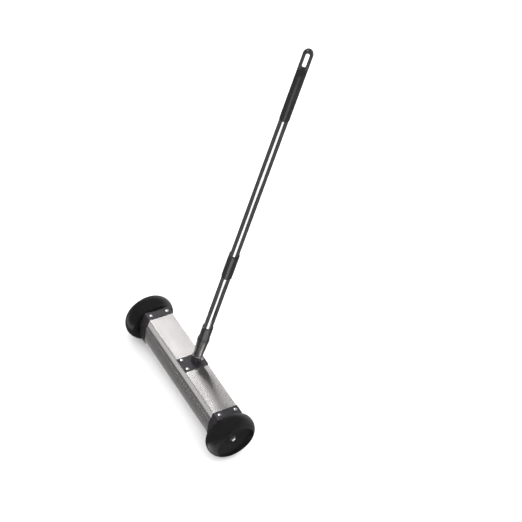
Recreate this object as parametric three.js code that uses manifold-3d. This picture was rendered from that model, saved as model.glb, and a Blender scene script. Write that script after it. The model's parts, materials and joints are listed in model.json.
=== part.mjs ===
// Rolling magnetic sweeper: a stainless magnet housing on two wheels, with a telescopic push handle.
// Millimetres, +Z up. X runs along the wheel axle, -Y is the front of the housing.
import * as THREE from 'three';
import { mergeVertices } from 'three/addons/utils/BufferGeometryUtils.js';
import Module from 'manifold-3d';

const wasm = await Module();
wasm.setup();

// ---------------------------------------------------------------- driving dimensions
const GAP = 0.3;

const WHEEL_RADIUS = 65;
const WHEEL_INNER_X = 182.6;
const WHEEL_OUTER_X = 228.4;
const WHEEL_WALL = 3.5;
const TREAD_ARC = { x: 202.2, radius: 31, flatHalf: 5 };
const RIM_LIP = { inner: 50, rise: 0.8 };
const FACE_EDGE = { x: 219.6, radius: 46.5 };
const HUB_FACE_X = 214.6;
const COVER_RADIUS = 54;
const HUB_RADIUS = 15;
const HUB_BORE = 8.2;
const SPOKE_COUNT = 6;
const SPOKE_THICKNESS = 2.5;
const SPOKE_REACH = 61;
const BUSH_BORE = 4.15;
const COVER_THICKNESS = 3;
const AXLE_RADIUS = 4;
const AXLE_HEAD = { radius: 5.6, height: 3.2, slotHalfLength: 2.9, slotHalfWidth: 0.7 };
const WASHER = { radius: 8, thickness: 1.2 };

const SECTION_CORNERS = [
  { y: 33.8, z: 113.6, round: 1.5 },
  { y: 35.6, z: 96.5, round: 14 },
  { y: 38.9, z: 87.4, round: 2.5 },
  { y: 34.8, z: 40, round: 8 },
  { y: 26, z: 21.7, round: 2 },
];
const SHELL_WALL = 1;
const SHELL_HALF_LENGTH = 176;
const SHELL_TOP_Z = SECTION_CORNERS[0].z;
const SHELL_BOTTOM_Z = SECTION_CORNERS.at(-1).z;

const PICKUP_PLATE = { halfLength: 157.5, halfWidth: 24.4, thickness: 1 };
const MAGNET = { count: 6, length: 50, width: 42, height: 16, pitch: 52 };
const YOKE = { length: 318, width: 44, thickness: 4 };
const YOKE_TIE = { x: 118, thickness: 3, inset: 4, window: 11 };

const CAP_INNER_X = 158.2;
const CAP_OUTER_X = 181.6;
const CAP_BAND = 1.3;
const CAP_END_WALL = 2.5;
const CAP_BOSS = { radius: 13, innerX: 163 };

const RIVET = { head: 4.8, rise: 1.8, shank: 2.3, length: 7.5, tail: 3.4, tailHeight: 1.6 };
const CAP_RIVET = { x: 169, y: 23 };

const BRACKET = { halfLength: 21.4, halfWidth: 34.4, plate: 1.6 };
const BRACKET_RIVET = { x: 14.6, frontY: -23.2, backY: 26 };
const CHANNEL = { halfWidth: 9.1, frontY: -2.6, backY: 17.3, height: 21, wall: 2, bend: 4, crown: 6 };
const BACKING = { halfLength: 20, halfWidth: 30, thickness: 2 };
const PLATE_TOP_Z = SHELL_TOP_Z + 0.2 + BRACKET.plate;

const PIVOT = { y: 9.4, z: PLATE_TOP_Z + 16 };
const PIVOT_BOLT_RADIUS = 3;
const PIVOT_HOLE = 3.15;
const PIVOT_HEAD = { radius: 5, height: 3 };
const PIVOT_NUT = { radius: 5.8, height: 5 };
const PIVOT_SPACER_RADIUS = 6.4;

// Distances along the handle, measured from the pivot.
const HANDLE_LEAN = THREE.MathUtils.degToRad(3.8);
const TONGUE = { halfThickness: 3.7, halfWidth: 7.6, end: 7.8, top: 24 };
const FERRULE = { from: 8.8, to: 10.5, inner: 8.8, outer: 12.7 };
const SOCKET = { bottom: 10.7, floor: 40, top: 113, bore: 11.8 };
const SOCKET_OUTLINE = { neck: 12.4, neckAt: 13.8, shoulder: 13.6, shoulderAt: 38, ring: 15, sleeve: 13.5 };
const CLAMP_RING = { from: 58, to: 70, screwRadius: 1.6, screwHead: 2.6 };
const LOWER_TUBE = { outer: 11.5, inner: 11.15, from: 40.6, to: 362 };
const COLLET = { from: 300, to: 363.2, outer: 12.3, fingerTop: 360, slots: 4, slotWidth: 1.6 };
const COLLAR = { from: 289.3, to: 365.6, radius: 13.1, chamfer: 2.2, lip: 2 };
const UPPER_TUBE = { outer: 11, inner: 10.3, from: 275, to: 925 };
const PLUG = { from: 262, stem: 9.9, radius: 11, neckTo: 272, stemTo: 300 };
const GRIP = { from: 795.4, to: 994.8, radius: 11.9, bore: 11.25, boreTop: 927 };
const LOOP = { flatFrom: 934, halfThickness: 6, slotFrom: 943, slotTo: 987.5, slotHalfWidth: 4.1, blend: 6 };
const GRIP_TURN = THREE.MathUtils.degToRad(45);

const ROUND_SEGMENTS = 24;
const WHEEL_SEGMENTS = 32;
const MID_SEGMENTS = 16;
const SMALL_SEGMENTS = 8;
const HEX_SIDES = 6;

// ---------------------------------------------------------------- materials
const stainless = new THREE.MeshStandardMaterial({ color: 0xc9c6c4, roughness: 0.32, metalness: 1 });
const tubeSteel = new THREE.MeshStandardMaterial({ color: 0xb4b4b6, roughness: 0.18, metalness: 1 });
const zincSteel = new THREE.MeshStandardMaterial({ color: 0xd8d8d8, roughness: 0.25, metalness: 1 });
const blackPaint = new THREE.MeshStandardMaterial({ color: 0x3a373b, roughness: 0.45, metalness: 0.3 });
const blackPlastic = new THREE.MeshStandardMaterial({ color: 0x2b2b2c, roughness: 0.5, metalness: 0 });
const wheelPlastic = new THREE.MeshStandardMaterial({ color: 0x1d1d1d, roughness: 0.55, metalness: 0 });
const nylon = new THREE.MeshStandardMaterial({ color: 0xd9d6cc, roughness: 0.6, metalness: 0 });
const ferrite = new THREE.MeshStandardMaterial({ color: 0x3d3d40, roughness: 0.8, metalness: 0.2 });
const yokeSteel = new THREE.MeshStandardMaterial({ color: 0x77787a, roughness: 0.5, metalness: 0.8 });

// ---------------------------------------------------------------- geometry helpers
const ALONG_X = new THREE.Matrix4().makeBasis(
  new THREE.Vector3(0, 1, 0),
  new THREE.Vector3(0, 0, 1),
  new THREE.Vector3(1, 0, 0),
);
const ALONG_Y = new THREE.Matrix4().makeBasis(
  new THREE.Vector3(0, 0, 1),
  new THREE.Vector3(1, 0, 0),
  new THREE.Vector3(0, 1, 0),
);

function signedVolume(position, index) {
  const a = new THREE.Vector3();
  const b = new THREE.Vector3();
  const c = new THREE.Vector3();
  let sum = 0;
  for (let i = 0; i < index.length; i += 3) {
    a.fromBufferAttribute(position, index[i]);
    b.fromBufferAttribute(position, index[i + 1]);
    c.fromBufferAttribute(position, index[i + 2]);
    sum += a.dot(b.cross(c)) / 6;
  }
  return sum;
}

// One closed body: shared vertices merged, slivers dropped, faces turned outwards.
function closed(source) {
  const bare = source.clone();
  bare.deleteAttribute('normal');
  bare.deleteAttribute('uv');
  const merged = mergeVertices(bare, 1e-4);
  const index = [];
  for (let i = 0; i < merged.index.count; i += 3) {
    const [a, b, c] = [0, 1, 2].map((k) => merged.index.getX(i + k));
    if (a !== b && b !== c && c !== a) {
      index.push(a, b, c);
    }
  }
  if (signedVolume(merged.attributes.position, index) < 0) {
    index.reverse();
  }
  merged.setIndex(index);
  return merged;
}

function toManifold(geometry) {
  const body = closed(geometry);
  return new wasm.Manifold(new wasm.Mesh({
    numProp: 3,
    vertProperties: new Float32Array(body.attributes.position.array),
    triVerts: new Uint32Array(body.index.array),
  }));
}

function toGeometry(manifold) {
  const mesh = manifold.getMesh();
  const geometry = new THREE.BufferGeometry();
  geometry.setAttribute('position', new THREE.BufferAttribute(new Float32Array(mesh.vertProperties), 3));
  geometry.setIndex(Array.from(mesh.triVerts));
  return geometry;
}

function joined(...pieces) {
  const [first, ...rest] = pieces.map(toManifold);
  return toGeometry(rest.reduce((body, piece) => body.add(piece), first));
}

function cut(base, ...tools) {
  return toGeometry(tools.map(toManifold).reduce((body, tool) => body.subtract(tool), toManifold(base)));
}

function common(first, second) {
  return toGeometry(toManifold(first).intersect(toManifold(second)));
}

// Body of revolution about Z from [radius, height] pairs that end on the axis or close on themselves.
function turned(profile, segments = ROUND_SEGMENTS) {
  const points = profile.map(([radius, height]) => new THREE.Vector2(radius, height));
  return new THREE.LatheGeometry(points, segments).rotateX(Math.PI / 2);
}

function ring(inner, outer, from, to, segments = ROUND_SEGMENTS) {
  return turned([[inner, from], [outer, from], [outer, to], [inner, to], [inner, from]], segments);
}

function rod(radius, from, to, segments = ROUND_SEGMENTS) {
  return turned([[0, from], [radius, from], [radius, to], [0, to]], segments);
}

function turnedAlongX(geometry) {
  return geometry.rotateY(Math.PI / 2);
}

function box(x0, x1, y0, y1, z0, z1) {
  return new THREE.BoxGeometry(x1 - x0, y1 - y0, z1 - z0)
    .translate((x0 + x1) / 2, (y0 + y1) / 2, (z0 + z1) / 2);
}

function prism(shape, depth, segments = 6) {
  return new THREE.ExtrudeGeometry(shape, { depth, bevelEnabled: false, curveSegments: segments });
}

// Corner list pushed outwards by a distance (inwards when negative), edges staying parallel.
function offsetCorners(corners, distance) {
  const count = corners.length;
  const edges = corners.map((corner, i) => {
    const next = corners[(i + 1) % count];
    const along = new THREE.Vector2(next.y - corner.y, next.z - corner.z).normalize();
    const start = new THREE.Vector2(corner.y - along.y * -distance, corner.z - along.x * distance);
    return { start, along };
  });
  return corners.map((corner, i) => {
    const before = edges[(i + count - 1) % count];
    const after = edges[i];
    const span = after.start.clone().sub(before.start);
    const reach = span.cross(after.along) / before.along.cross(after.along);
    return {
      y: before.start.x + before.along.x * reach,
      z: before.start.y + before.along.y * reach,
      round: Math.max(corner.round + distance, 0.2),
    };
  });
}

// Closed outline in the Y-Z plane through the corners, each corner rounded with a curve.
function roundedShape(corners) {
  const shape = new THREE.Shape();
  const count = corners.length;
  const at = (i) => new THREE.Vector2(corners[(i + count) % count].y, corners[(i + count) % count].z);
  corners.forEach((corner, i) => {
    const here = at(i);
    const towardBefore = at(i - 1).sub(here);
    const towardAfter = at(i + 1).sub(here);
    const turn = Math.PI - Math.acos(towardBefore.clone().normalize().dot(towardAfter.clone().normalize()));
    const trim = corner.round * Math.tan(turn / 2);
    const enter = here.clone().add(towardBefore.setLength(trim));
    const leave = here.clone().add(towardAfter.setLength(trim));
    if (i === 0) {
      shape.moveTo(enter.x, enter.y);
    } else {
      shape.lineTo(enter.x, enter.y);
    }
    shape.quadraticCurveTo(here.x, here.y, leave.x, leave.y);
  });
  shape.closePath();
  return shape;
}

// Full housing outline, anticlockwise in the Y-Z plane, grown by a distance.
function sectionShape(distance) {
  const back = [...SECTION_CORNERS].reverse();
  const front = SECTION_CORNERS.map((corner) => ({ ...corner, y: -corner.y }));
  return roundedShape(offsetCorners([...back, ...front], distance));
}

function sectionBody(distance, x0, x1) {
  return prism(sectionShape(distance), x1 - x0, 4).applyMatrix4(ALONG_X).translate(x0, 0, 0);
}

function mirroredX(geometry) {
  return closed(geometry.clone().scale(-1, 1, 1));
}

function onSide(geometry, side) {
  return side > 0 ? geometry : mirroredX(geometry);
}

const root = new THREE.Group();
const handle = new THREE.Group();
const upperHandle = new THREE.Group();

function node(name, geometry, material, parent = root) {
  const mesh = new THREE.Mesh(closed(geometry), material);
  mesh.name = name;
  parent.add(mesh);
  return mesh;
}

// ---------------------------------------------------------------- magnet housing
function rivetHole(x, y) {
  return rod(RIVET.shank + GAP, SHELL_TOP_Z - 10, PLATE_TOP_Z + 2, SMALL_SEGMENTS).translate(x, y, 0);
}

const capRivetSpots = [-1, 1].flatMap((side) => [-1, 1].map((row) => (
  { x: side * CAP_RIVET.x, y: row * CAP_RIVET.y, side, row }
)));
const bracketRivetSpots = [
  { x: -BRACKET_RIVET.x, y: BRACKET_RIVET.frontY, name: 'bracket_rivet_front_left' },
  { x: BRACKET_RIVET.x, y: BRACKET_RIVET.frontY, name: 'bracket_rivet_front_right' },
  { x: 0, y: BRACKET_RIVET.backY, name: 'bracket_rivet_back' },
];
const bracketHoles = bracketRivetSpots.map(({ x, y }) => rivetHole(x, y));

function housingShell() {
  const skin = sectionBody(0, -SHELL_HALF_LENGTH, SHELL_HALF_LENGTH);
  const hollow = sectionBody(-SHELL_WALL, -SHELL_HALF_LENGTH - 1, SHELL_HALF_LENGTH + 1);
  const capHoles = capRivetSpots.map(({ x, y }) => rivetHole(x, y));
  return cut(skin, hollow, ...capHoles, ...bracketHoles);
}

function pickupPlate() {
  const top = SHELL_BOTTOM_Z - GAP;
  const { halfLength, halfWidth, thickness } = PICKUP_PLATE;
  return box(-halfLength, halfLength, -halfWidth, halfWidth, top - thickness, top);
}

const MAGNET_BOTTOM_Z = SHELL_BOTTOM_Z + SHELL_WALL + GAP;
const YOKE_BOTTOM_Z = MAGNET_BOTTOM_Z + MAGNET.height + GAP;
const YOKE_TOP_Z = YOKE_BOTTOM_Z + YOKE.thickness;

function magnetBlock(index) {
  const centre = (index - (MAGNET.count - 1) / 2) * MAGNET.pitch;
  const half = MAGNET.length / 2;
  return box(centre - half, centre + half, -MAGNET.width / 2, MAGNET.width / 2,
    MAGNET_BOTTOM_Z, MAGNET_BOTTOM_Z + MAGNET.height);
}

function yoke() {
  return box(-YOKE.length / 2, YOKE.length / 2, -YOKE.width / 2, YOKE.width / 2, YOKE_BOTTOM_Z, YOKE_TOP_Z);
}

// Moulded rib that stands on the yoke, fills the housing section and keeps the magnets down.
function yokeTie(side) {
  const x0 = side * YOKE_TIE.x - YOKE_TIE.thickness / 2;
  const x1 = x0 + YOKE_TIE.thickness;
  const slab = sectionBody(-SHELL_WALL - GAP, x0, x1);
  const below = box(x0 - 1, x1 + 1, -60, 60, 0, YOKE_TOP_Z + GAP);
  const window = turnedAlongX(rod(YOKE_TIE.window, x0 - 1, x1 + 1)).translate(0, 0, 76);
  return cut(slab, below, window);
}

// ---------------------------------------------------------------- end caps
function endCap() {
  const skin = sectionBody(GAP + CAP_BAND, CAP_INNER_X, CAP_OUTER_X);
  const hollow = sectionBody(GAP, CAP_INNER_X - 1, CAP_OUTER_X - CAP_END_WALL);
  const boss = turnedAlongX(rod(CAP_BOSS.radius, CAP_BOSS.innerX, CAP_OUTER_X - 1, MID_SEGMENTS))
    .translate(0, 0, WHEEL_RADIUS);
  const bore = turnedAlongX(rod(AXLE_RADIUS + GAP, CAP_BOSS.innerX - 1, CAP_OUTER_X + 1, MID_SEGMENTS))
    .translate(0, 0, WHEEL_RADIUS);
  const holes = [-1, 1].map((row) => rivetHole(CAP_RIVET.x, row * CAP_RIVET.y));
  const shellCup = cut(skin, hollow);
  return cut(joined(shellCup, boss), bore, ...holes);
}

// Domed head above the plate, shank through it and a set tail inside the shell.
function rivet() {
  const seat = PLATE_TOP_Z + GAP / 2;
  const tailZ = SHELL_TOP_Z - RIVET.length + 1;
  const arc = [0, 1, 2, 3].map((step) => {
    const angle = (step / 3) * (Math.PI / 2);
    return [RIVET.head * Math.cos(angle), seat + RIVET.rise * Math.sin(angle)];
  });
  arc[3][0] = 0;
  return turned([
    [0, tailZ - RIVET.tailHeight],
    [RIVET.tail, tailZ - RIVET.tailHeight],
    [RIVET.tail, tailZ],
    [RIVET.shank, tailZ],
    [RIVET.shank, seat],
    ...arc,
  ], SMALL_SEGMENTS);
}

// ---------------------------------------------------------------- wheels and axle
// Points [radius, x] on the rounded tread, sunk below its surface, between two places along the axle.
function treadArc(depth, fromX, toX, steps) {
  const radius = TREAD_ARC.radius - depth;
  const centre = WHEEL_RADIUS - Math.sqrt(TREAD_ARC.radius ** 2 - TREAD_ARC.flatHalf ** 2);
  const angleAt = (x) => Math.asin((x - TREAD_ARC.x) / radius);
  const from = angleAt(fromX);
  const sweep = angleAt(toX) - from;
  return Array.from({ length: steps + 1 }, (_, i) => {
    const angle = from + (i / steps) * sweep;
    return [centre + radius * Math.cos(angle), TREAD_ARC.x + radius * Math.sin(angle)];
  });
}

// Outer dish: sunken face, rim lip and one rounded tread, open on the inner side and stiffened by spokes.
function wheelShell() {
  const backX = HUB_FACE_X - WHEEL_WALL;
  const webX = FACE_EDGE.x - WHEEL_WALL;
  const lipX = WHEEL_INNER_X + WHEEL_WALL;
  const dish = turned([
    [HUB_BORE, HUB_FACE_X],
    [HUB_BORE, WHEEL_INNER_X + 1],
    [HUB_RADIUS, WHEEL_INNER_X + 1],
    [HUB_RADIUS, backX],
    [FACE_EDGE.radius, webX],
    ...treadArc(WHEEL_WALL, lipX, webX, 4).reverse(),
    [COVER_RADIUS, lipX],
    [COVER_RADIUS, WHEEL_INNER_X],
    ...treadArc(0, WHEEL_INNER_X, TREAD_ARC.x - TREAD_ARC.flatHalf, 3),
    ...treadArc(0, TREAD_ARC.x + TREAD_ARC.flatHalf, WHEEL_OUTER_X - RIM_LIP.rise, 5),
    [RIM_LIP.inner, WHEEL_OUTER_X],
    [FACE_EDGE.radius, FACE_EDGE.x],
    [HUB_RADIUS, HUB_FACE_X],
    [HUB_BORE, HUB_FACE_X],
  ], WHEEL_SEGMENTS);
  const spokes = Array.from({ length: SPOKE_COUNT }, (_, i) => (
    box(HUB_RADIUS - 1, SPOKE_REACH, -SPOKE_THICKNESS / 2, SPOKE_THICKNESS / 2, WHEEL_INNER_X + 12, backX + 0.5)
      .rotateZ((i / SPOKE_COUNT) * 2 * Math.PI)
  ));
  return turnedAlongX(joined(dish, ...spokes)).translate(0, 0, WHEEL_RADIUS);
}

// Flat disc that closes the inner side of the wheel between the hub and the tread.
function wheelCover() {
  const from = WHEEL_INNER_X + 0.4;
  const disc = ring(HUB_RADIUS + GAP, COVER_RADIUS - GAP, from, from + COVER_THICKNESS, WHEEL_SEGMENTS);
  return turnedAlongX(disc).translate(0, 0, WHEEL_RADIUS);
}

function hubBush() {
  return turnedAlongX(ring(BUSH_BORE, HUB_BORE - 0.2, WHEEL_INNER_X + 1, HUB_FACE_X, MID_SEGMENTS))
    .translate(0, 0, WHEEL_RADIUS);
}

const WASHER_X = HUB_FACE_X + GAP;

function outerWasher() {
  return turnedAlongX(ring(BUSH_BORE, WASHER.radius, WASHER_X, WASHER_X + WASHER.thickness, MID_SEGMENTS))
    .translate(0, 0, WHEEL_RADIUS);
}

function thrustWasher() {
  return turnedAlongX(ring(BUSH_BORE, 11, CAP_OUTER_X + 0.2, WHEEL_INNER_X + 0.8, MID_SEGMENTS))
    .translate(0, 0, WHEEL_RADIUS);
}

// Pan-head shoulder bolt with a cross recess, from the wheel face into the end cap.
function axleBolt() {
  const { radius, height, slotHalfLength, slotHalfWidth } = AXLE_HEAD;
  const headX = WASHER_X + WASHER.thickness + 0.2;
  const topX = headX + height;
  const body = turned([
    [0, CAP_BOSS.innerX - 9],
    [AXLE_RADIUS, CAP_BOSS.innerX - 9],
    [AXLE_RADIUS, headX],
    [radius, headX],
    [radius, headX + height * 0.4],
    [radius * 0.82, headX + height * 0.8],
    [radius * 0.5, topX],
    [0, topX],
  ], MID_SEGMENTS);
  const recess = [0, 1].map((turn) => (
    box(-slotHalfLength, slotHalfLength, -slotHalfWidth, slotHalfWidth, topX - 2, topX + 2)
      .rotateZ(turn * Math.PI / 2)
  ));
  return turnedAlongX(cut(body, ...recess)).translate(0, 0, WHEEL_RADIUS);
}

function hexNut(bore, radius, from, to) {
  return cut(rod(radius, from, to, HEX_SIDES), rod(bore, from - 1, to + 1, MID_SEGMENTS));
}

function axleNut() {
  return turnedAlongX(hexNut(AXLE_RADIUS + 0.2, 7.5, CAP_BOSS.innerX - 7.1, CAP_BOSS.innerX - GAP))
    .translate(0, 0, WHEEL_RADIUS);
}

// ---------------------------------------------------------------- handle bracket and pivot
function handleBracket() {
  const plate = box(-BRACKET.halfLength, BRACKET.halfLength, -BRACKET.halfWidth, BRACKET.halfWidth,
    SHELL_TOP_Z + 0.2, PLATE_TOP_Z);
  const { halfWidth, frontY, backY, height, wall, bend, crown } = CHANNEL;
  const outline = new THREE.Shape();
  outline.moveTo(halfWidth, backY);
  outline.lineTo(halfWidth - wall, backY);
  outline.lineTo(halfWidth - wall, frontY + wall);
  outline.lineTo(wall - halfWidth, frontY + wall);
  outline.lineTo(wall - halfWidth, backY);
  outline.lineTo(-halfWidth, backY);
  outline.lineTo(-halfWidth, frontY + bend);
  outline.quadraticCurveTo(-halfWidth, frontY, bend - halfWidth, frontY);
  outline.lineTo(halfWidth - bend, frontY);
  outline.quadraticCurveTo(halfWidth, frontY, halfWidth, frontY + bend);
  outline.closePath();
  const walls = prism(outline, height + 0.8, 5).translate(0, 0, PLATE_TOP_Z - 0.8);
  const side = new THREE.Shape();
  side.moveTo(frontY - 1, PLATE_TOP_Z - 2);
  side.lineTo(backY, PLATE_TOP_Z - 2);
  side.lineTo(backY, PLATE_TOP_Z + height - crown);
  side.absarc(backY - crown, PLATE_TOP_Z + height - crown, crown, 0, Math.PI / 2, false);
  side.lineTo(frontY - 1, PLATE_TOP_Z + height);
  side.closePath();
  const sideMask = prism(side, 60, 6).applyMatrix4(ALONG_X).translate(-30, 0, 0);
  const pivotHole = turnedAlongX(rod(PIVOT_HOLE, -30, 30, MID_SEGMENTS)).translate(0, PIVOT.y, PIVOT.z);
  return cut(joined(plate, common(walls, sideMask)), pivotHole, ...bracketHoles);
}

function backingPlate() {
  const top = SHELL_TOP_Z - SHELL_WALL - GAP;
  const plate = box(-BACKING.halfLength, BACKING.halfLength, -BACKING.halfWidth, BACKING.halfWidth,
    top - BACKING.thickness, top);
  return cut(plate, ...bracketHoles);
}

function pivotBolt() {
  const seat = CHANNEL.halfWidth + 0.2;
  const body = turned([
    [0, -seat - PIVOT_NUT.height - 1.5],
    [PIVOT_BOLT_RADIUS, -seat - PIVOT_NUT.height - 1.5],
    [PIVOT_BOLT_RADIUS, seat],
    [PIVOT_HEAD.radius, seat],
    [PIVOT_HEAD.radius * 0.86, seat + PIVOT_HEAD.height * 0.6],
    [PIVOT_HEAD.radius * 0.5, seat + PIVOT_HEAD.height],
    [0, seat + PIVOT_HEAD.height],
  ], MID_SEGMENTS);
  const key = rod(2, seat + 1, seat + PIVOT_HEAD.height + 1, HEX_SIDES);
  return turnedAlongX(cut(body, key)).translate(0, PIVOT.y, PIVOT.z);
}

function pivotNut() {
  const seat = -CHANNEL.halfWidth - 0.2;
  return turnedAlongX(hexNut(PIVOT_BOLT_RADIUS + 0.2, PIVOT_NUT.radius, seat - PIVOT_NUT.height, seat))
    .translate(0, PIVOT.y, PIVOT.z);
}

function pivotSpacer(side) {
  const inner = TONGUE.halfThickness + 0.2;
  const outer = CHANNEL.halfWidth - CHANNEL.wall - 0.2;
  const sleeve = ring(PIVOT_BOLT_RADIUS + 0.2, PIVOT_SPACER_RADIUS, inner, outer, MID_SEGMENTS);
  return onSide(turnedAlongX(sleeve), side).translate(0, PIVOT.y, PIVOT.z);
}

// ---------------------------------------------------------------- handle, along its own Z from the pivot
function handleSocket() {
  const { neck, neckAt, shoulder, shoulderAt, ring: ringRadius, sleeve } = SOCKET_OUTLINE;
  const body = turned([
    [0, SOCKET.bottom],
    [neck, SOCKET.bottom],
    [neck, neckAt],
    [shoulder, shoulderAt],
    [ringRadius - 0.9, CLAMP_RING.from - 4],
    [ringRadius - 0.9, CLAMP_RING.from - GAP],
    [shoulder, CLAMP_RING.from - GAP],
    [shoulder, CLAMP_RING.to + 3],
    [sleeve, SOCKET.top - 1.2],
    [sleeve - 0.8, SOCKET.top],
    [SOCKET.bore, SOCKET.top],
    [SOCKET.bore, SOCKET.floor],
    [0, SOCKET.floor],
  ]);
  const blade = new THREE.Shape();
  blade.absarc(0, 0, TONGUE.halfWidth, Math.PI, 2 * Math.PI, false);
  blade.lineTo(TONGUE.halfWidth, TONGUE.top);
  blade.lineTo(-TONGUE.halfWidth, TONGUE.top);
  blade.closePath();
  const tongue = prism(blade, 2 * TONGUE.halfThickness, 8)
    .applyMatrix4(ALONG_X)
    .translate(-TONGUE.halfThickness, 0, 0);
  const eye = turnedAlongX(rod(PIVOT_HOLE, -30, 30, MID_SEGMENTS));
  const screwHole = rod(CLAMP_RING.screwRadius + 0.2, 5, 30, SMALL_SEGMENTS)
    .applyMatrix4(ALONG_Y)
    .rotateZ(Math.PI - GRIP_TURN)
    .translate(0, 0, (CLAMP_RING.from + CLAMP_RING.to) / 2);
  return cut(joined(body, tongue), eye, screwHole);
}

// Steel ring under the socket that keeps the moulding from splitting.
function ferrule() {
  const { from, to, inner, outer } = FERRULE;
  return turned([
    [inner, from],
    [outer - 0.3, from],
    [outer, from + 0.3],
    [outer, to],
    [inner, to],
    [inner, from],
  ]);
}

function clampRing() {
  const inner = SOCKET_OUTLINE.shoulder + GAP;
  const outer = SOCKET_OUTLINE.ring;
  const { from, to } = CLAMP_RING;
  const band = turned([
    [inner, from],
    [outer - 0.5, from],
    [outer, from + 1],
    [outer, to - 1],
    [outer - 0.5, to],
    [inner, to],
    [inner, from],
  ]);
  const pocket = rod(CLAMP_RING.screwHead + GAP, 5, 30, SMALL_SEGMENTS)
    .applyMatrix4(ALONG_Y)
    .rotateZ(Math.PI - GRIP_TURN)
    .translate(0, 0, (from + to) / 2);
  return cut(band, pocket);
}

// Small set screw through the ring and the socket wall, clamping the lower tube.
function socketScrew() {
  const { ring: ringRadius } = SOCKET_OUTLINE;
  const tip = LOWER_TUBE.outer + 0.15;
  return turned([
    [0, tip],
    [CLAMP_RING.screwRadius, tip],
    [CLAMP_RING.screwRadius, SOCKET_OUTLINE.shoulder + 0.2],
    [CLAMP_RING.screwHead, SOCKET_OUTLINE.shoulder + 0.2],
    [CLAMP_RING.screwHead, ringRadius - 0.4],
    [CLAMP_RING.screwHead - 0.7, ringRadius + 0.3],
    [0, ringRadius + 0.3],
  ], SMALL_SEGMENTS)
    .applyMatrix4(ALONG_Y)
    .rotateZ(Math.PI - GRIP_TURN)
    .translate(0, 0, (CLAMP_RING.from + CLAMP_RING.to) / 2);
}

function lowerTube() {
  return ring(LOWER_TUBE.inner, LOWER_TUBE.outer, LOWER_TUBE.from, LOWER_TUBE.to);
}

// Threaded sleeve on the tube end; its slotted fingers are squeezed onto the upper tube.
function collet() {
  const throat = UPPER_TUBE.outer + 0.15;
  const sleeve = turned([
    [LOWER_TUBE.outer + 0.15, COLLET.from],
    [COLLET.outer, COLLET.from],
    [COLLET.outer, COLLET.fingerTop - 1],
    [COLLET.outer - 0.3, COLLET.to],
    [throat, COLLET.to],
    [throat, LOWER_TUBE.to + 0.2],
    [LOWER_TUBE.outer + 0.15, LOWER_TUBE.to + 0.2],
    [LOWER_TUBE.outer + 0.15, COLLET.from],
  ]);
  const slots = Array.from({ length: COLLET.slots }, (_, i) => (
    box(5, 20, -COLLET.slotWidth / 2, COLLET.slotWidth / 2, COLLET.to - 14, COLLET.to + 1)
      .rotateZ((i / COLLET.slots) * 2 * Math.PI)
  ));
  return cut(sleeve, ...slots);
}

function twistCollar() {
  const { from, to, radius, chamfer, lip } = COLLAR;
  const lowerThroat = LOWER_TUBE.outer + 0.2;
  const upperThroat = UPPER_TUBE.outer + 0.3;
  const sleeve = COLLET.outer + 0.15;
  return turned([
    [lowerThroat, from],
    [radius - 0.9, from],
    [radius, from + chamfer],
    [radius, to - 1.4],
    [radius - 0.6, to],
    [upperThroat, to],
    [upperThroat, to - lip + 0.2],
    [sleeve, to - lip + 0.2],
    [sleeve, COLLET.from - 0.8],
    [lowerThroat, COLLET.from - 0.8],
    [lowerThroat, from],
  ]);
}

function upperTube() {
  return ring(UPPER_TUBE.inner, UPPER_TUBE.outer, UPPER_TUBE.from, UPPER_TUBE.to);
}

// Nylon guide at the tube's lower end: a stem inside the upper tube and a collar that rides in the lower one.
function guidePlug() {
  return turned([
    [0, PLUG.from],
    [PLUG.radius - 0.8, PLUG.from],
    [PLUG.radius, PLUG.from + 1.5],
    [PLUG.radius, PLUG.neckTo],
    [PLUG.stem, PLUG.neckTo],
    [PLUG.stem, PLUG.stemTo],
    [0, PLUG.stemTo],
  ]);
}

function handGrip() {
  const dome = LOOP.halfThickness;
  const sleeve = turned([
    [0, GRIP.boreTop],
    [GRIP.bore, GRIP.boreTop],
    [GRIP.bore, GRIP.from],
    [GRIP.radius - 0.5, GRIP.from],
    [GRIP.radius, GRIP.from + 1],
    [GRIP.radius, GRIP.to + 20],
    [0, GRIP.to + 20],
  ]);
  // Round-topped outline seen along the slot, and the flattened sides seen across it.
  const front = new THREE.Shape();
  front.moveTo(-GRIP.radius - 1, GRIP.from - 1);
  front.lineTo(GRIP.radius + 1, GRIP.from - 1);
  front.lineTo(GRIP.radius + 1, GRIP.to - GRIP.radius);
  front.absarc(0, GRIP.to - GRIP.radius, GRIP.radius, 0, Math.PI, false);
  front.lineTo(-GRIP.radius - 1, GRIP.to - GRIP.radius);
  front.closePath();
  const side = new THREE.Shape();
  side.moveTo(-GRIP.radius - 1, GRIP.from - 1);
  side.lineTo(GRIP.radius + 1, GRIP.from - 1);
  side.lineTo(GRIP.radius + 1, LOOP.flatFrom - LOOP.blend);
  side.lineTo(dome, LOOP.flatFrom);
  side.lineTo(dome, GRIP.to + 1);
  side.lineTo(-dome, GRIP.to + 1);
  side.lineTo(-dome, LOOP.flatFrom);
  side.lineTo(-GRIP.radius - 1, LOOP.flatFrom - LOOP.blend);
  side.closePath();
  const slot = new THREE.Shape();
  slot.absarc(0, LOOP.slotFrom + LOOP.slotHalfWidth, LOOP.slotHalfWidth, Math.PI, 2 * Math.PI, false);
  slot.absarc(0, LOOP.slotTo - LOOP.slotHalfWidth, LOOP.slotHalfWidth, 0, Math.PI, false);
  slot.closePath();
  const across = (shape, segments) => (
    prism(shape, 60, segments).rotateX(Math.PI / 2).translate(0, 30, 0)
  );
  const frontMask = across(front, 12);
  const sideMask = prism(side, 60).applyMatrix4(ALONG_X).translate(-30, 0, 0);
  return cut(common(common(sleeve, frontMask), sideMask), across(slot, 8));
}

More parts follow.
